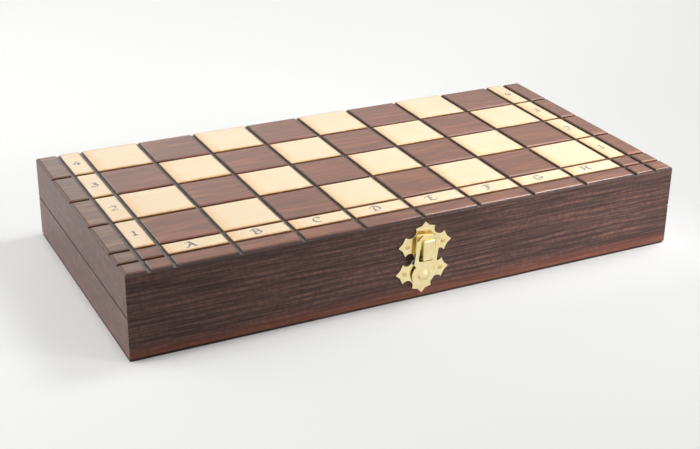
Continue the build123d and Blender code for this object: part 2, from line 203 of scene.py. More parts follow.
# ---------------------------------------------------------------- helpers for materials
class Graph:
    """A node tree, with short calls for adding nodes and feeding their inputs."""

    def __init__(self, tree):
        self.tree = tree
        tree.nodes.clear()
        self.coordinates = self.node("ShaderNodeTexCoord")
        self.place = self.coordinates.outputs["Object"]

    def node(self, kind, inputs=None, **settings):
        """Add a node; each input is a value or another node's socket."""
        made = self.tree.nodes.new(kind)
        for key, value in settings.items():
            setattr(made, key, value)
        for key, value in (inputs or {}).items():
            if isinstance(value, bpy.types.NodeSocket):
                self.tree.links.new(value, made.inputs[key])
            else:
                made.inputs[key].default_value = value
        return made

    def maths(self, operation, first, second=0.0):
        """One arithmetic step."""
        return self.node("ShaderNodeMath", {0: first, 1: second}, operation=operation).outputs[0]

    def ramp(self, factor, *stops):
        """A colour ramp through (position, colour) stops."""
        ramp = self.node("ShaderNodeValToRGB", {"Fac": factor})
        elements = ramp.color_ramp.elements
        while len(elements) < len(stops):
            elements.new(1.0)
        for element, (position, colour) in zip(elements, stops):
            element.position = position
            element.color = (*colour, 1.0)
        return ramp.outputs["Color"]

    def spread(self, value, low, high, to_low=0.0, to_high=1.0, soft=False):
        """Stretch a value from one range to another and clamp it there."""
        stretch = self.node(
            "ShaderNodeMapRange",
            {
                "Value": value, "From Min": low, "From Max": high,
                "To Min": to_low, "To Max": to_high,
            },
            interpolation_type="SMOOTHSTEP" if soft else "LINEAR",
        )
        return stretch.outputs["Result"]

    def mix(self, factor, first, second, blend="MIX"):
        """Mix two colours, which are sockets 6 and 7 of the node, with the result in 2."""
        mixer = self.node("ShaderNodeMix", {"Factor": factor}, data_type="RGBA", blend_type=blend)
        for socket, value in ((mixer.inputs[6], first), (mixer.inputs[7], second)):
            if isinstance(value, bpy.types.NodeSocket):
                self.tree.links.new(value, socket)
            else:
                socket.default_value = (*value, 1.0)
        return mixer.outputs[2]

    def axis(self, name):
        """One of the piece's own coordinates."""
        return self.node("ShaderNodeSeparateXYZ", {"Vector": self.place}).outputs[name]

    def noise(self, scale, detail=4.0, roughness=0.55, distortion=0.0, source=None):
        """Soft noise whose features measure 1 / scale along each axis."""
        scaled = self.node("ShaderNodeMapping", {"Vector": source or self.place, "Scale": scale})
        inputs = {"Vector": scaled.outputs["Vector"], "Detail": detail, "Roughness": roughness}
        cloud = self.node(
            "ShaderNodeTexNoise", {**inputs, "Distortion": distortion, "Scale": 1.0}
        )
        return cloud.outputs["Fac"]

    def wavy(self, scale, sway):
        """The piece's coordinates, swaying sideways by up to `sway` metres."""
        cloud = self.noise(scale, detail=1.0)
        shift = self.spread(cloud, 0.2, 0.8, -sway, sway)
        offset = self.node("ShaderNodeCombineXYZ", {"X": 0.0, "Y": shift, "Z": shift})
        moved = self.node(
            "ShaderNodeVectorMath", {0: self.place, 1: offset.outputs["Vector"]}, operation="ADD"
        )
        return moved.outputs["Vector"]

    def bump(self, height, distance, strength):
        """Fine relief; `distance` is its height in metres."""
        inputs = {"Height": height, "Distance": distance, "Strength": strength}
        return self.node("ShaderNodeBump", inputs).outputs["Normal"]


def new_material(name):
    """An empty material and its graph."""
    material = bpy.data.materials.new(name)
    material.use_nodes = True
    return material, Graph(material.node_tree)


def finish(material, graph, **inputs):
    """Wire the surface itself to the output."""
    named = {key.replace("_", " "): value for key, value in inputs.items()}
    surface = graph.node("ShaderNodeBsdfPrincipled", named)
    graph.node("ShaderNodeOutputMaterial", {"Surface": surface.outputs["BSDF"]})
    return material


def tinted(colour, factor):
    """The colour, lighter or darker."""
    return tuple(channel * factor for channel in colour)


def tinged(colour, red, green, blue):
    """The colour with each channel scaled by its own factor."""
    return (colour[0] * red, colour[1] * green, colour[2] * blue)


def dress(names, *materials):
    """Give CAD nodes these materials, the first of them all over."""
    for name in names:
        slots = nodes[name].data.materials
        slots.clear()
        for material in materials:
            slots.append(material)
        for polygon in nodes[name].data.polygons:
            polygon.material_index = 0


def dress_faces(name, material, test):
    """Use one of a node's materials on the faces whose middle and normal pass the test."""
    index = nodes[name].data.materials.find(material.name)
    for polygon in nodes[name].data.polygons:
        if test(polygon.center, polygon.normal):
            polygon.material_index = index


# ---------------------------------------------------------------- wood
def from_grooves(graph):
    """Distances from the nearest groove that runs back, from the nearest that runs across, from the
    next groove on the left and from the next one in front.
    """
    x, y = graph.axis("X"), graph.axis("Y")
    inner_x = graph.maths("PINGPONG", graph.maths("SUBTRACT", x, field_left), square / 2)
    inner_y = graph.maths("PINGPONG", graph.maths("SUBTRACT", y, field_front), square / 2)
    outer_x = graph.maths("ABSOLUTE", graph.maths("ADD", graph.maths("ABSOLUTE", x), strip_left))
    outer_y = graph.maths("ABSOLUTE", graph.maths("SUBTRACT", y, strip_front))
    beside = graph.maths("MINIMUM", inner_x, outer_x)
    along = graph.maths("MINIMUM", inner_y, outer_y)
    left = graph.maths("FLOORED_MODULO", graph.maths("SUBTRACT", x, field_left), square)
    ahead = graph.maths("FLOORED_MODULO", graph.maths("SUBTRACT", y, field_front), square)
    return beside, along, left, ahead


def stained_board(wood):
    """Dark playing face: wavy brown grain, with black sawn edges."""
    material, graph = new_material("board_stain")
    stain = tuple(wood.board_stain)
    wave = graph.wavy((26.0, 48.0, 48.0), 3.0 * MM)
    fibres = graph.noise((24.0, 340.0, 340.0), detail=4.0, roughness=0.6, source=wave)
    bands = graph.noise((12.0, 110.0, 110.0), detail=2.0, source=wave)
    pores = graph.noise((70.0, 1100.0, 1100.0), detail=2.0)
    colour = graph.ramp(
        fibres,
        (0.34, tinged(stain, 0.62, 0.65, 0.70)),
        (0.50, stain),
        (0.66, tinged(stain, 1.50, 1.48, 1.42)),
    )
    colour = graph.mix(
        graph.spread(bands, 0.40, 0.60, 0.0, 0.60), colour, tinged(stain, 0.66, 0.69, 0.76)
    )
    colour = graph.mix(graph.spread(pores, 0.42, 0.62, 0.0, 0.35), colour, tinted(stain, 0.70))
    across = graph.axis("X")
    # Painted sheen: the dark rim left of the light strip is tinged greyer for the sheen it shows;
    # the rim on the right is only made a little less blue.
    for side, tinge in ((-1, (1.0, 1.5, 2.0)), (1, (1.0, 1.0, 0.96))):
        beyond = graph.maths("MULTIPLY", across, side)
        border_tone_and_sheen = graph.spread(beyond, -strip_left - 0.1 * MM, -strip_left + 0.1 * MM)
        colour = graph.mix(border_tone_and_sheen, colour, tinge, blend="MULTIPLY")
    beside, along = from_grooves(graph)[:2]
    below_top = below_face(graph)
    sawn = graph.spread(beside, kerf / 2 + 0.40 * MM, kerf / 2 + 0.05 * MM)
    sawn = graph.maths("MULTIPLY", sawn, graph.spread(below_top, 0.03 * MM, 0.10 * MM))
    colour = graph.mix(sawn, colour, tuple(wood.groove_paint))
    relief = graph.bump(pores, 0.02 * MM, 0.25)
    return finish(
        material, graph, Base_Color=colour, Roughness=dulled(graph, wood, along), Normal=relief
    )


def from_parting(graph):
    """Distance from the line where the closed halves meet."""
    return graph.maths("ABSOLUTE", graph.maths("SUBTRACT", graph.axis("Z"), parting))


def below_face(graph):
    """How far a point lies below the nearer of the two playing faces."""
    return graph.maths("SUBTRACT", (top - bottom) / 2, from_parting(graph))


def dulled(graph, wood, along):
    """Satin varnish that grows thin and dull on the shoulders of the cross grooves."""
    shoulder = kerf / 2
    return graph.spread(
        along, shoulder + 0.75 * MM, shoulder + 0.6 * MM, wood.gloss, wood.gloss + 0.12
    )


def board_edge(name, wood, contrast, dark, rim, roughness, shine):
    """Rounded edge of a board, stained like the walls, with a dark line round the corner that is a
    painted reflection of the dark room in front.

    `dark` is the strength of that line, `rim` the lightness of the rim above it, as a share of the
    board's stain, and `shine` the strength of the reflections.
    """
    material, graph = new_material(name)
    colour = walls_colour(graph, tuple(wood.frame_stain), contrast)
    below_top = below_face(graph)
    above = graph.spread(below_top, 0.50 * MM, 0.20 * MM, soft=True)
    colour = graph.mix(above, colour, tinted(tuple(wood.board_stain), rim))
    # Painted reflection: a band of darkened groove paint across the rounding, for the dark room in
    # front that the edge reflects.
    line = graph.maths(
        "MULTIPLY",
        graph.spread(below_top, 0.35 * MM, 0.75 * MM, soft=True),
        graph.spread(below_top, 2.00 * MM, 1.40 * MM, soft=True),
    )
    paint = tinted(tuple(wood.groove_paint), 0.3)
    colour = graph.mix(graph.maths("MULTIPLY", line, dark), colour, paint)
    return finish(
        material, graph, Base_Color=colour, Roughness=roughness, Specular_IOR_Level=shine
    )


def walls_colour(graph, stain, contrast, seam=1.0, worn=0.40):
    """Fine level streaks of red and near-black, redder towards the foot.

    `contrast` scales the streaks and the redness. Along the parting line the stain turns to `seam`
    times its own lightness, by as much as `worn`.
    """
    wave = graph.wavy((16.0, 16.0, 30.0), 0.45 * MM)
    fibres = graph.noise((34.0, 34.0, 1000.0), detail=4.0, roughness=0.62, source=wave)
    rings = graph.node(
        "ShaderNodeTexWave",
        {"Vector": wave, "Scale": 100.0, "Distortion": 5.0, "Detail": 2.0, "Detail Scale": 0.35},
        wave_type="BANDS",
        bands_direction="Z",
    ).outputs["Fac"]
    mottle = graph.noise((450.0, 160.0, 350.0), detail=3.0, roughness=0.7)
    colour = graph.ramp(
        fibres,
        (0.37, tinted(stain, 1.0 - 0.55 * contrast)),
        (0.49, stain),
        (0.60, tinged(stain, *(1.0 + part * contrast for part in (0.55, 0.38, 0.30)))),
        (0.70, tinged(stain, *(1.0 + part * contrast for part in (1.1, 0.70, 0.50)))),
    )
    colour = graph.mix(
        graph.spread(rings, 0.2, 0.9, 0.0, 0.5 * contrast), colour, tinged(stain, 0.42, 0.48, 0.52)
    )
    blotches = graph.spread(mottle, 0.40, 0.62, 0.0, 0.9 - 0.4 * contrast)
    colour = graph.mix(blotches, colour, tinted(stain, 0.42))
    level = graph.axis("Z")
    low = graph.spread(level, 9.0 * MM, 2.5 * MM, 0.0, 0.36 * contrast, soft=True)
    colour = graph.mix(low, colour, tinged(stain, 2.2, 1.20, 0.80))
    foot = graph.spread(level, 3.0 * MM, 1.8 * MM, 0.0, 0.16 * contrast, soft=True)
    colour = graph.mix(foot, colour, tinged(stain, 3.8, 1.9, 0.8))
    near = graph.spread(from_parting(graph), 0.9 * MM, 0.2 * MM, 0.0, worn, soft=True)
    return graph.mix(near, colour, tinted(stain, seam))


def stained_walls(name, wood, stain, contrast, seam, worn, shine):
    """Outside of the walls, duller than the playing face and matt along the seam."""
    material, graph = new_material(name)
    colour = walls_colour(graph, stain, contrast, seam, worn)
    pores = graph.noise((400.0, 400.0, 1200.0), detail=3.0)
    return finish(
        material,
        graph,
        Base_Color=colour,
        Roughness=graph.spread(from_parting(graph), 0.3 * MM, 0.7 * MM, 0.9, wood.gloss * 1.3),
        Specular_IOR_Level=shine,
        Normal=graph.bump(pores, 0.03 * MM, 0.3),
    )


def varnished_squares(wood):
    """Pale close-grained wood, scorched orange where stain crept in from the grooves, with painted
    shade as a wider orange band along the left and front edge of each piece.
    """
    material, graph = new_material("varnished_wood")
    pale = tuple(wood.light_wood)
    scorch = tuple(wood.scorch)
    wave = graph.wavy((18.0, 36.0, 36.0), 1.6 * MM)
    fibres = graph.noise((20.0, 420.0, 420.0), detail=2.0, source=wave)
    cloud = graph.noise((70.0, 70.0, 70.0), detail=3.0)
    colour = graph.ramp(
        fibres,
        (0.28, tinged(pale, 0.985, 0.965, 0.94)),
        (0.50, pale),
        (0.72, tinged(pale, 1.01, 1.02, 1.04)),
    )
    clouded = graph.spread(cloud, 0.42, 0.68, 0.0, 0.6)
    colour = graph.mix(clouded, colour, tinged(pale, 0.98, 0.93, 0.83))
    beside, along, left, ahead = from_grooves(graph)
    scorch_and_shade_noise = graph.noise((260.0, 260.0, 260.0), detail=3.0)
    ragged = graph.spread(scorch_and_shade_noise, 0.3, 0.7, -0.5 * MM, 0.5 * MM)
    orange = tinged(pale, 0.95, 0.72, 0.44)
    # Painted shade: a wider orange band along the left and the front edge of each piece, the sides
    # turned away from the light.
    for distance, reach, strength in ((left, 7.5 * MM, 0.70), (ahead, 4.5 * MM, 0.45)):
        edge = graph.maths("ADD", distance, ragged)
        crept = graph.spread(edge, reach, 1.0 * MM, 0.0, strength, soft=True)
        colour = graph.mix(crept, colour, orange)
    nearest = graph.maths("MINIMUM", beside, along)
    edge = graph.maths("ADD", nearest, graph.maths("MULTIPLY", ragged, 0.5))
    colour = graph.mix(graph.spread(edge, 2.4 * MM, 1.2 * MM, 0.0, 0.55), colour, orange)
    colour = graph.mix(graph.spread(edge, 1.65 * MM, 1.2 * MM, 0.0, 0.9), colour, scorch)
    burnt = graph.spread(along, 1.30 * MM, 1.05 * MM, 0.0, 0.8)
    colour = graph.mix(burnt, colour, tinted(scorch, 0.35))
    colour = graph.mix(graph.spread(beside, 1.35 * MM, 1.05 * MM), colour, tuple(wood.groove_paint))
    return finish(
        material,
        graph,
        Base_Color=colour,
        Roughness=dulled(graph, wood, along),
        Normal=graph.bump(cloud, 0.03 * MM, 0.2),
    )


def bare_wood(wood):
    """Unfinished wood inside the trays."""
    material, graph = new_material("bare_wood")
    bare = tuple(wood.bare_wood)
    fibres = graph.noise((30.0, 30.0, 700.0), detail=5.0)
    growth = graph.noise((9.0, 160.0, 160.0), detail=3.0, distortion=0.5)
    colour = graph.ramp(
        fibres,
        (0.30, tinged(bare, 0.88, 0.82, 0.74)),
        (0.52, bare),
        (0.70, tinged(bare, 1.06, 1.08, 1.12)),
    )
    late = graph.spread(growth, 0.45, 0.62, 0.0, 0.5)
    colour = graph.mix(late, colour, tinged(bare, 0.86, 0.78, 0.66))
    relief = graph.bump(fibres, 0.04 * MM, 0.4)
    return finish(material, graph, Base_Color=colour, Roughness=0.62, Normal=relief)


def groove_finish(name, colour, contrast, roughness):
    """Paint or thin stain in the grooves, patchy along them."""
    material, graph = new_material(name)
    patches = graph.noise((420.0, 420.0, 420.0), detail=4.0)
    tint = graph.ramp(
        patches,
        (0.36, tinted(colour, 1 - contrast)),
        (0.52, colour),
        (0.68, tinted(colour, 1 + 2 * contrast)),
    )
    relief = graph.bump(patches, 0.08 * MM, 0.5)
    return finish(material, graph, Base_Color=tint, Roughness=roughness, Normal=relief)


# ---------------------------------------------------------------- finishing the CAD nodes
MARGIN = 0.02 * MM
GROOVE_REACH = 3 * MM  # further than this below a playing face, no face belongs to its grooves
EDGE_BAND = 1.7 * MM  # a face this near to the outside of a board belongs to its edge
MOSTLY = 0.7  # least part of a normal along an axis, for a face that looks mostly that way
SQUARELY = 0.98  # the same for a face that looks straight that way


def inside_tray(centre, normal):
    """True on the faces that look into the trays."""
    return (
        abs(centre.x) < half_length - wall + MARGIN
        and abs(centre.y) < half_depth - wall + MARGIN
        and tray_floor - MARGIN < centre.z < tray_roof + MARGIN
    )


def in_kerf(centre, surface):
    """True within half a kerf of a groove line and below the playing face."""
    if abs(centre.z - surface) < MARGIN:
        return False
    from_line_x = abs((centre.x - field_left + square / 2) % square - square / 2)
    from_line_y = abs((centre.y - field_front + square / 2) % square - square / 2)
    near = min(
        from_line_x if abs(centre.x) < half_length - wall else 1.0,
        from_line_y if centre.y < half_depth - square / 2 else 1.0,
        abs(abs(centre.x) + strip_left),
        abs(centre.y - strip_front),
    )
    return near < kerf / 2 + MARGIN


def kerf_test(surface, direction):
    """Test for the faces of the grooves cut from one playing face that look along one axis."""
    return lambda centre, normal: (
        abs(centre.z - surface) < GROOVE_REACH
        and in_kerf(centre, surface)
        and abs(normal["xyz".index(direction)]) > MOSTLY
    )


def edge_test(surface):
    """Test for the rounded edge and the outer sides of one board."""
    return lambda centre, normal: (
        abs(centre.z - surface) > MARGIN
        and abs(normal.z) < SQUARELY
        and (
            abs(centre.x) > half_length - EDGE_BAND
            or abs(centre.y) > half_depth - EDGE_BAND
        )
        and not in_kerf(centre, surface)
    )


def end_test(surface):
    """The same for the edge at either end of the board."""
    at_edge = edge_test(surface)
    return lambda centre, normal: at_edge(centre, normal) and abs(normal.x) > abs(normal.y)


def side_test(surface, direction):
    """The same for the flat sides of the board that look along one axis."""
    at_edge = edge_test(surface)
    return lambda centre, normal: (
        at_edge(centre, normal) and abs(normal["xyz".index(direction)]) > SQUARELY
    )


class CHESSBOX_OT_boards(bpy.types.Operator):
    """Stain the dark boards, paint their grooves and leave their inner faces bare"""

    bl_idname = "chessbox.boards"
    bl_label = "Dark boards"

    def execute(self, context):
        wood = context.scene.chessbox_wood
        stain = tuple(wood.board_stain)
        paint = groove_finish(
            "groove_paint", tuple(wood.groove_paint), contrast=0.4, roughness=0.45
        )
        floor = groove_finish(
            "groove_floor", tuple(wood.groove_floor), contrast=0.35, roughness=0.32
        )
        sawn = groove_finish("sawn_stain", tinted(stain, 0.55), contrast=0.2, roughness=0.35)
        stained = stained_board(wood)
        bare = bare_wood(wood)
        polished = wood.gloss * 0.6
        long_edge = board_edge(
            "long_edge", wood, contrast=1.0, dark=0.6, rim=0.9, roughness=polished, shine=0.6
        )
        end_edge = board_edge(
            "end_edge", wood, contrast=0.3, dark=0.25, rim=0.6, roughness=0.5, shine=0.2
        )
        for name, surface in PANELS:
            dress([name], stained, bare, paint, sawn, floor, long_edge, end_edge)
            dress_faces(name, long_edge, edge_test(surface))
            dress_faces(name, end_edge, end_test(surface))
            dress_faces(name, bare, inside_tray)
            for material, direction in ((paint, "x"), (sawn, "y"), (floor, "z")):
                dress_faces(name, material, kerf_test(surface, direction))
        return {"FINISHED"}


class CHESSBOX_OT_light_pieces(bpy.types.Operator):
    """Varnish the light squares and strips"""

    bl_idname = "chessbox.light_pieces"
    bl_label = "Light squares and strips"

    def execute(self, context):
        wood = context.scene.chessbox_wood
        varnished = varnished_squares(wood)
        paint = bpy.data.materials["groove_paint"]
        char = tinted(tuple(wood.scorch), 0.30)
        singed = groove_finish("singed_edge", char, contrast=0.2, roughness=0.4)
        for name, surface in (
            ("lid_light_squares", top),
            ("lid_light_strips", top),
            ("base_light_squares", bottom),
            ("base_light_strips", bottom),
        ):
            dress([name], varnished, paint, singed)
            dress_faces(name, paint, kerf_test(surface, "x"))
            dress_faces(name, singed, kerf_test(surface, "y"))
        return {"FINISHED"}


class CHESSBOX_OT_walls(bpy.types.Operator):
    """Stain the outside of the mitred walls and leave the inside bare"""

    bl_idname = "chessbox.walls"
    bl_label = "Walls"

    def execute(self, context):
        wood = context.scene.chessbox_wood
        stain = tuple(wood.frame_stain)
        long_side = stained_walls(
            "frame_stain", wood, stain, contrast=1.0, seam=1.8, worn=0.40, shine=0.15
        )
        # Painted light: the end walls take a lighter copy of the frame stain, for the light they
        # catch from the left.
        lit_end_stain = tinged(stain, 1.35, 1.22, 1.15)
        end = stained_walls(
            "lit_end_stain", wood, lit_end_stain, contrast=0.3, seam=0.2, worn=0.70, shine=0.30
        )
        bare = bpy.data.materials["bare_wood"]
        for half in ("lid", "base"):
            for side in ("front", "back", "left", "right"):
                name = f"{half}_{side}_wall"
                dress([name], long_side if side in ("front", "back") else end, bare)
                dress_faces(name, bare, inside_tray)
        for name, surface in PANELS:
            for material, direction in ((long_side, "y"), (end, "x")):
                nodes[name].data.materials.append(material)
                dress_faces(name, material, side_test(surface, direction))
        return {"FINISHED"}


class CHESSBOX_OT_brass(bpy.types.Operator):
    """Plate the latch, hinges and nails"""

    bl_idname = "chessbox.brass"
    bl_label = "Brass"

    def execute(self, context):
        brass = context.scene.chessbox_brass
        metal = tuple(brass.metal)
        plate = self.plating("plated_brass", metal, brass.polish)
        nail = self.plating("nail_brass", tinged(metal, 0.80, 0.66, 0.45), brass.polish * 1.4)
        fittings = [name for name in nodes if name.startswith(("hinge_", "latch_"))]
        dress([name for name in fittings if not name.endswith("_nails")], plate)
        dress([name for name in fittings if name.endswith("_nails")], nail)
        dress(["latch_rivet"], self.plating("rivet_brass", metal, brass.polish * 1.9))
        return {"FINISHED"}

    def plating(self, name, metal, polish):
        """Pale metal with a little haze."""
        material, graph = new_material(name)
        haze = graph.noise((260.0, 260.0, 260.0), detail=5.0)
        return finish(
            material,
            graph,
            Base_Color=graph.ramp(haze, (0.3, tinged(metal, 0.96, 0.92, 0.82)), (0.6, metal)),
            Metallic=1.0,
            Roughness=graph.spread(haze, 0.35, 0.7, polish * 0.85, polish * 1.25),
            Normal=graph.bump(haze, 0.02 * MM, 0.25),
        )


# ---------------------------------------------------------------- letters and numbers
def line(start, end):
    """A straight pen stroke as one Bezier segment."""
    third = ((end[0] - start[0]) / 3, (end[1] - start[1]) / 3)
    first = (start[0] + third[0], start[1] + third[1])
    second = (end[0] - third[0], end[1] - third[1])
    return [start, (first, second, end)]


# Each glyph is a list of pen strokes, in letter heights: a start and then (handle, handle, end)
# segments.
ROUND_BACK = [
    (0.76, 0.84), ((0.66, 1.04), (0.42, 1.05), (0.27, 0.90)),
    ((0.04, 0.70), (0.04, 0.28), (0.24, 0.10)), ((0.40, -0.05), (0.64, -0.01), (0.80, 0.18)),
]
GLYPHS = {
    "A": [
        [(0.04, 0.80), ((0.10, 1.03), (0.28, 1.04), (0.42, 0.96))],
        [(0.34, 1.00), ((0.50, 0.92), (0.60, 0.52), (0.70, 0.18)),
         ((0.75, 0.02), (0.86, -0.02), (0.98, 0.12))],
        [(0.46, 0.88), ((0.38, 0.58), (0.28, 0.26), (0.16, 0.07)),
         ((0.10, -0.02), (0.02, -0.01), (-0.04, 0.09))],
        line((0.20, 0.36), (0.64, 0.38)),
    ],
    "B": [
        [(-0.04, 0.74), ((-0.02, 0.98), (0.18, 1.04), (0.34, 0.98)),
         ((0.62, 1.02), (0.76, 0.84), (0.68, 0.70)),
         ((0.60, 0.56), (0.42, 0.52), (0.26, 0.52))],
        [(0.26, 0.96), ((0.20, 0.66), (0.20, 0.34), (0.24, 0.06))],
        [(0.34, 0.53), ((0.66, 0.58), (0.86, 0.42), (0.80, 0.24)),
         ((0.74, 0.02), (0.44, -0.04), (0.06, 0.06))],
    ],
    "C": [ROUND_BACK, line((0.66, 0.98), (0.78, 0.70))],
    "D": [
        [(-0.04, 0.72), ((-0.02, 0.98), (0.22, 1.03), (0.42, 0.98)),
         ((0.74, 0.92), (0.92, 0.64), (0.84, 0.36)),
         ((0.76, 0.04), (0.42, -0.04), (0.06, 0.06))],
        [(0.34, 0.84), ((0.26, 0.62), (0.26, 0.38), (0.32, 0.14))],
    ],
    "E": [
        [(-0.10, 0.70), ((-0.10, 0.98), (0.20, 1.02), (0.42, 0.96)),
         ((0.56, 0.93), (0.68, 0.94), (0.78, 1.00))],
        [(0.34, 0.94), ((0.24, 0.66), (0.24, 0.34), (0.28, 0.06))],
        line((0.28, 0.52), (0.60, 0.54)),
        [(0.08, 0.05), ((0.34, 0.10), (0.66, -0.08), (0.96, 0.20))],
    ],
    "F": [
        [(0.00, 0.74), ((0.04, 0.98), (0.28, 1.02), (0.46, 0.94)),
         ((0.60, 0.88), (0.74, 0.90), (0.84, 1.02))],
        [(0.36, 0.92), ((0.28, 0.62), (0.34, 0.36), (0.28, 0.12)),
         ((0.22, -0.04), (0.06, -0.04), (0.00, 0.10))],
        [(0.14, 0.48), ((0.30, 0.56), (0.46, 0.42), (0.64, 0.54))],
    ],
    "G": [ROUND_BACK, line((0.80, 0.44), (0.80, 0.14)), line((0.46, 0.45), (0.94, 0.47))],
    "H": [
        [(-0.04, 0.76), ((0.00, 0.98), (0.14, 1.02), (0.28, 0.92)),
         ((0.18, 0.62), (0.24, 0.30), (0.12, 0.04))],
        [(0.92, 0.90), ((0.80, 1.04), (0.66, 0.96), (0.66, 0.72)),
         ((0.66, 0.40), (0.62, 0.02), (0.92, 0.08))],
        line((0.22, 0.48), (0.66, 0.54)),
    ],
    "1": [
        line((0.18, 0.80), (0.42, 0.98)),
        line((0.42, 0.98), (0.42, 0.05)),
        line((0.18, 0.03), (0.66, 0.05)),
    ],
    "2": [
        [(0.12, 0.74), ((0.14, 1.05), (0.66, 1.06), (0.66, 0.74)),
         ((0.66, 0.48), (0.26, 0.26), (0.08, 0.06))],
        [(0.08, 0.06), ((0.26, 0.16), (0.46, -0.06), (0.74, 0.12))],
    ],
    "3": [
        [(0.14, 0.82), ((0.22, 1.04), (0.60, 1.04), (0.62, 0.78)),
         ((0.62, 0.60), (0.46, 0.54), (0.30, 0.54))],
        [(0.30, 0.54), ((0.54, 0.58), (0.72, 0.46), (0.68, 0.26)),
         ((0.62, -0.02), (0.20, -0.04), (0.06, 0.18))],
    ],
    "4": [
        [(0.46, 0.98), ((0.34, 0.74), (0.18, 0.50), (0.02, 0.32))],
        line((0.02, 0.31), (0.78, 0.33)),
        line((0.54, 0.66), (0.52, 0.00)),
    ],
    "5": [
        line((0.22, 0.94), (0.66, 0.97)),
        [(0.22, 0.94), ((0.20, 0.80), (0.19, 0.70), (0.18, 0.56)),
         ((0.44, 0.68), (0.72, 0.52), (0.66, 0.26)),
         ((0.60, -0.02), (0.18, -0.04), (0.06, 0.16))],
    ],
    "6": [
        [(0.64, 0.92), ((0.40, 1.04), (0.12, 0.74), (0.12, 0.36)),
         ((0.12, -0.03), (0.62, -0.06), (0.66, 0.27)),
         ((0.68, 0.56), (0.30, 0.62), (0.14, 0.34))],
    ],
    "7": [
        [(0.08, 0.88), ((0.20, 1.02), (0.48, 0.86), (0.72, 0.97)),
         ((0.56, 0.66), (0.34, 0.40), (0.32, 0.02))],
    ],
    "8": [
        [(0.38, 0.54), ((0.10, 0.62), (0.10, 0.99), (0.38, 0.99)),
         ((0.66, 0.99), (0.66, 0.62), (0.38, 0.54)),
         ((0.04, 0.44), (0.04, 0.02), (0.38, 0.02)), ((0.74, 0.02), (0.74, 0.44), (0.38, 0.54))],
    ],
}
STEPS = 10  # points along one Bezier segment
INK_GAP = 0.004 * MM  # height of each stroke over the one below it
GLYPH_MIDDLE = (0.42, 0.5)  # the point of a glyph that is set on its place, in letter heights


def stroke_points(stroke):
    """Points along a pen stroke."""
    points = [Vector(stroke[0])]
    for first, second, end in stroke[1:]:
        corners = [Vector((*corner, 0.0)) for corner in (points[-1][:2], first, second, end)]
        points += [Vector(p[:2]) for p in interpolate_bezier(*corners, STEPS)[1:]]
    return points


def pen_stroke(mesh, stroke, marks, place):
    """Draw one stroke as the ribbon that a slanted broad nib leaves."""
    points = stroke_points(stroke)
    nib = Vector((math.cos(marks.nib_angle), math.sin(marks.nib_angle))) * marks.nib / 2
    corners = []
    for index, point in enumerate(points):
        before = points[max(index - 1, 0)]
        after = points[min(index + 1, len(points) - 1)]
        heading = (after - before).normalized()
        side = Vector((-heading.y, heading.x))
        if side.dot(nib) < 0:
            side = -side
        half = nib + side * marks.hairline / 2
        corners.append([place(point + half), place(point - half)])
    verts = [mesh.verts.new(corner) for corner in corners[0]]
    edge = mesh.edges.new(verts)
    for pair in corners[1:]:
        made = bmesh.ops.extrude_edge_only(mesh, edges=[edge])["geom"]
        ends = [item for item in made if isinstance(item, bmesh.types.BMVert)]
        edge = next(item for item in made if isinstance(item, bmesh.types.BMEdge))
        previous = dict(zip(verts, (0, 1)))
        order = {}
        for vert in ends:
            for spoke in vert.link_edges:
                other = spoke.other_vert(vert)
                if other in previous:
                    order[previous[other]] = vert
        verts = [order[0], order[1]]
        for vert, corner in zip(verts, pair):
            vert.co = corner


def printed_marks(name, marks, places, surface, body):
    """Print glyphs on a playing face; each place is (glyph, x, y) and `surface` its height."""
    facing = 1 if surface > parting else -1
    mesh = bmesh.new()
    for glyph, x, y in places:
        height = marks.digit_height if glyph.isdigit() else marks.cap_height
        for layer, stroke in enumerate(GLYPHS[glyph], 1):
            def place(point, lift=facing * layer * INK_GAP):
                across = (point.x - GLYPH_MIDDLE[0]) * height
                upward = (point.y - GLYPH_MIDDLE[1]) * height * facing
                return Vector((x + across, y + upward, surface + lift))

            pen_stroke(mesh, stroke, marks, place)
    bmesh.ops.recalc_face_normals(mesh, faces=mesh.faces)
    for face in mesh.faces:
        if face.normal.z * facing < 0:
            face.normal_flip()
    data = bpy.data.meshes.new(name)
    mesh.to_mesh(data)
    mesh.free()
    piece = bpy.data.objects.new(name, data)
    bpy.context.scene.collection.objects.link(piece)
    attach(piece, body)
    return piece


# How far each letter is stamped to the left of the middle of its file, in millimetres.
LETTER_SHIFTS = dict(zip("ABCDEFGH", (2.4, 1.1, 1.5, 1.5, 2.0, 0.3, 2.1, 4.0)))


def letter_places():
    """Centres of the letters A to H, stamped by hand a little left of the middle of their files."""
    y = (strip_front + field_front) / 2
    return [
        (letter, field_left + square * (file + 0.5) - shift * MM, y)
        for file, (letter, shift) in enumerate(LETTER_SHIFTS.items())
    ]


def number_places(numbers):
    """Centres of the rank numbers, in both side strips, from front to back."""
    x = (strip_left + field_left) / 2
    return [
        (str(number), side * x, field_front + square * (rank + 0.5))
        for side in (1, -1)
        for rank, number in enumerate(numbers)
    ]


class CHESSBOX_OT_marks(bpy.types.Operator):
    """Print the letters and numbers of the playing board"""

    bl_idname = "chessbox.marks"
    bl_label = "Letters and numbers"

    def execute(self, context):
        marks = context.scene.chessbox_marks
        material, graph = new_material("ink")
        wear = graph.noise((900.0, 900.0, 900.0), detail=3.0)
        ink = tuple(marks.ink)
        colour = graph.ramp(wear, (0.35, tinted(ink, 0.8)), (0.70, tinted(ink, 1.9)))
        finish(material, graph, Base_Color=colour, Roughness=0.5)
        for name, places, surface, body in (
            ("lid_letters", letter_places(), top, "lid"),
            ("lid_numbers", number_places((1, 2, 3, 4)), top, "lid"),
            ("base_letters", letter_places(), bottom, "base"),
            ("base_numbers", number_places((8, 7, 6, 5)), bottom, "base"),
        ):
            piece = printed_marks(name, marks, places, surface, body)
            piece.data.materials.append(material)
        return {"FINISHED"}


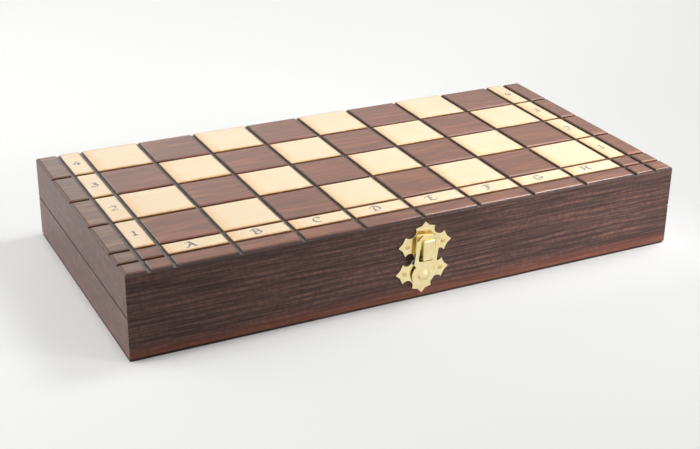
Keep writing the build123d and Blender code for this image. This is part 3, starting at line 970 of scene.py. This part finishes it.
# ---------------------------------------------------------------- studio
def area_lamp(name, place, aim, size, power):
    """A soft rectangular lamp that looks at `aim`."""
    data = bpy.data.lights.new(name, "AREA")
    data.shape = "RECTANGLE"
    data.size, data.size_y = size
    data.energy = power
    lamp = bpy.data.objects.new(name, data)
    lamp.location = place
    lamp.rotation_mode = "QUATERNION"
    lamp.rotation_quaternion = (Vector(aim) - Vector(place)).to_track_quat("-Z", "Y")
    bpy.context.scene.collection.objects.link(lamp)
    return lamp


# Name, place, aim and size in metres, and power as a share of the key lamp's.
LAMPS = (
    ("key_lamp", (0.55, 0.08, 0.85), (0.10, 0.0, 0.04), (0.25, 0.25), 1.0),
    ("right_lamp", (0.75, 0.0, 0.75), (0.05, -0.05, 0.02), (0.4, 0.4), 0.74),
    ("left_lamp", (-0.8, 0.2, 0.5), (-0.1, 0.0, 0.02), (0.4, 0.4), 0.53),
)
LOW_BEAM = math.radians(46)  # opening of the low lamp's beam
# Name, then in degrees azimuth from +Y towards +X, elevation and half-widths of the full and of the
# fading part, then strength.
SCREENS = (
    ("left", -60.0, 8.0, 6.0, 32.0, 6.6),
    ("behind left", -30.0, 8.0, 6.0, 32.0, 3.5),
    ("behind", 0.0, 8.0, 6.0, 32.0, 1.3),
    ("behind right", 30.0, 8.0, 6.0, 32.0, 0.9),
    ("high left", -60.0, 30.0, 6.0, 32.0, 0.4),
    ("front right", 134.0, 18.0, 9.0, 22.0, 2.5),
)
BACKDROP = 0.95  # strength at which the backdrop and the evened floor are seen
FLOOR_REACH = 6.0  # metres from the middle of the floor to its edges
FLOOR_GAP = 0.1 * MM  # between the floor and the box that rests on it
PAINTED_LIGHT_WAY = (-0.31, 0.25, 0.0)  # painted light: the floor grows paler this way, for the brighter light at the back left
GLOW_LIGHT_WAY = (0.6, -0.8, 0.0)  # and keeps more of its own colour this way: painted light, a glow for light from the front right
PAINTED_CONTACT_SHADOW = (0.02, 0.018, 0.018)  # painted shadow: colour of the floor under the box
CAMERA_REACH = 50.0  # metres that the camera sees


class CHESSBOX_OT_studio(bpy.types.Operator):
    """Set the floor, lamps, surroundings and camera"""

    bl_idname = "chessbox.studio"
    bl_label = "Studio"

    def execute(self, context):
        studio = context.scene.chessbox_studio
        self.lay_floor(studio)
        for name, place, aim, size, share in LAMPS:
            area_lamp(name, place, aim, size, studio.key_power * share)
        low = area_lamp(
            "low_lamp", (0.40, -0.36, 0.14), (0.11, -0.07, 0.02), (0.25, 0.2), studio.low_power
        )
        low.data.spread = LOW_BEAM
        low.visible_glossy = False  # its mirror image would blind the playing face from behind
        context.scene.world = self.surroundings(studio)
        context.scene.view_settings.view_transform = "Standard"
        self.place_camera(context.scene, studio)
        return {"FINISHED"}

    def surroundings(self, studio):
        """Soft white screens round the box, each a fixed patch of the sky."""
        world = bpy.data.worlds.new("surroundings")
        world.use_nodes = True
        graph = Graph(world.node_tree)
        light = 0.0
        for name, azimuth, elevation, inner, outer, strength in SCREENS:
            turn, rise = math.radians(azimuth), math.radians(elevation)
            level = math.cos(rise)
            middle = (math.sin(turn) * level, math.cos(turn) * level, math.sin(rise))
            aligned = graph.node(
                "ShaderNodeVectorMath",
                {0: graph.coordinates.outputs["Generated"], 1: middle},
                operation="DOT_PRODUCT",
                label=name,
            ).outputs["Value"]
            faded, full = math.cos(math.radians(outer)), math.cos(math.radians(inner))
            patch = graph.spread(aligned, faded, full, 0.0, strength, soft=True)
            light = graph.maths("ADD", light, patch)
        light = graph.maths("MULTIPLY", light, studio.surroundings)
        seen = graph.node("ShaderNodeLightPath").outputs
        mirrored = graph.maths("MAXIMUM", seen["Is Glossy Ray"], seen["Is Transmission Ray"])
        light = graph.maths("MAXIMUM", light, graph.maths("MULTIPLY", mirrored, BACKDROP))
        strength = graph.node(
            "ShaderNodeMix",
            {"Factor": seen["Is Camera Ray"], 2: light, 3: BACKDROP},
            data_type="FLOAT",
        )
        white = (1.0, 1.0, 1.0, 1.0)
        background = graph.node(
            "ShaderNodeBackground", {"Color": white, "Strength": strength.outputs[0]}
        )
        graph.node("ShaderNodeOutputWorld", {"Surface": background.outputs["Background"]})
        return world

    def lay_floor(self, studio):
        """A large pale floor under the box."""
        mesh = bmesh.new()
        bmesh.ops.create_grid(mesh, x_segments=1, y_segments=1, size=FLOOR_REACH)
        bmesh.ops.translate(mesh, verts=mesh.verts, vec=(0.0, 0.0, bottom - FLOOR_GAP))
        data = bpy.data.meshes.new("floor")
        mesh.to_mesh(data)
        mesh.free()
        floor = bpy.data.objects.new("floor", data)
        bpy.context.scene.collection.objects.link(floor)
        data.materials.append(self.floor_finish(studio))

    def floor_finish(self, studio):
        """Pale paper that, away from the box, is seen more evenly than it is lit. Painted light
        makes it paler towards the back left and glow more towards the front right, and a painted
        shadow darkens it under the box.
        """
        material, graph = new_material("floor")
        colour = tuple(studio.floor)
        # Painted light: the paper is coloured paler towards the back left.
        across = graph.node(
            "ShaderNodeVectorMath", {0: graph.place, 1: PAINTED_LIGHT_WAY}, operation="DOT_PRODUCT"
        )
        paler = graph.spread(across.outputs["Value"], -0.20, 0.14)
        tint = graph.mix(paler, tinted(colour, 0.80), tinted(colour, 1.14))
        outside_x = graph.maths("SUBTRACT", graph.maths("ABSOLUTE", graph.axis("X")), half_length)
        outside_y = graph.maths("SUBTRACT", graph.maths("ABSOLUTE", graph.axis("Y")), half_depth)
        outside = graph.maths("MAXIMUM", outside_x, outside_y)
        # Painted shadow: the floor turns near black under the box.
        tint = graph.mix(graph.spread(outside, -0.4 * MM, 0.1 * MM), PAINTED_CONTACT_SHADOW, tint)
        paper = graph.node("ShaderNodeBsdfPrincipled", {"Base Color": tint, "Roughness": 0.6})
        glow = graph.node("ShaderNodeEmission", {"Color": tint, "Strength": BACKDROP})
        seen = graph.node("ShaderNodeLightPath")
        clear = graph.maths(
            "MULTIPLY",
            graph.spread(outside, -1.0 * MM, 5.0 * MM),
            graph.spread(outside, 0.0, 50.0 * MM, 0.62, 1.0),
        )
        # Painted light: the floor keeps more of its glow towards the front right, for light from
        # the front.
        ahead = graph.node(
            "ShaderNodeVectorMath", {0: graph.place, 1: GLOW_LIGHT_WAY}, operation="DOT_PRODUCT"
        )
        least, most = studio.floor_glow * 0.80, studio.floor_glow * 1.35
        share = graph.spread(ahead.outputs["Value"], -0.12, 0.10, least, most, soft=True)
        even = graph.maths(
            "MULTIPLY",
            graph.maths("MAXIMUM", seen.outputs["Is Camera Ray"], seen.outputs["Is Glossy Ray"]),
            graph.maths("MULTIPLY", clear, share),
        )
        surface = graph.node(
            "ShaderNodeMixShader",
            {"Fac": even, 1: paper.outputs["BSDF"], 2: glow.outputs["Emission"]},
        )
        graph.node("ShaderNodeOutputMaterial", {"Surface": surface.outputs["Shader"]})
        return material

    def place_camera(self, scene, studio):
        """Stand the camera at the front left, a little above the box."""
        data = bpy.data.cameras.new("camera")
        data.lens = studio.lens
        data.clip_end = CAMERA_REACH
        camera = bpy.data.objects.new("camera", data)
        sight = Vector(studio.aim) - Vector(studio.eye)
        camera.location = studio.eye
        camera.rotation_mode = "QUATERNION"
        rolled = Quaternion((0.0, 0.0, 1.0), studio.roll)
        camera.rotation_quaternion = sight.to_track_quat("-Z", "Y") @ rolled
        scene.collection.objects.link(camera)
        scene.camera = camera


class CHESSBOX_PT_panel(bpy.types.Panel):
    """Sizes, colours and steps of the chess box"""

    bl_label = "Chess Box"
    bl_idname = "CHESSBOX_PT_panel"
    bl_space_type = "VIEW_3D"
    bl_region_type = "UI"
    bl_category = "Chess Box"

    def draw(self, context):
        layout = self.layout
        for group in (
            context.scene.chessbox_wood,
            context.scene.chessbox_marks,
            context.scene.chessbox_brass,
            context.scene.chessbox_studio,
        ):
            box = layout.box()
            for key in group.bl_rna.properties.keys():
                if key not in ("rna_type", "name"):
                    box.prop(group, key)
        for operator in OPERATORS:
            layout.operator(operator.bl_idname)


GROUPS = {
    "chessbox_wood": ChessBoxWood,
    "chessbox_marks": ChessBoxMarks,
    "chessbox_brass": ChessBoxBrass,
    "chessbox_studio": ChessBoxStudio,
}
OPERATORS = (
    CHESSBOX_OT_boards,
    CHESSBOX_OT_light_pieces,
    CHESSBOX_OT_walls,
    CHESSBOX_OT_brass,
    CHESSBOX_OT_marks,
    CHESSBOX_OT_studio,
)


def register():
    """Make the settings, the operators and the panel known."""
    for group in GROUPS.values():
        bpy.utils.register_class(group)
    for operator in OPERATORS:
        bpy.utils.register_class(operator)
    bpy.utils.register_class(CHESSBOX_PT_panel)
    for name, group in GROUPS.items():
        setattr(bpy.types.Scene, name, bpy.props.PointerProperty(type=group))


def unregister():
    """Take them away again."""
    for name in GROUPS:
        delattr(bpy.types.Scene, name)
    bpy.utils.unregister_class(CHESSBOX_PT_panel)
    for operator in OPERATORS:
        bpy.utils.unregister_class(operator)
    for group in GROUPS.values():
        bpy.utils.unregister_class(group)


def main():
    """Dress the box, print its coordinates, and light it."""
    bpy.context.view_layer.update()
    register()
    bpy.ops.chessbox.boards()
    bpy.ops.chessbox.light_pieces()
    bpy.ops.chessbox.walls()
    bpy.ops.chessbox.brass()
    bpy.ops.chessbox.marks()
    bpy.ops.chessbox.studio()


if __name__ == "__main__":
    main()
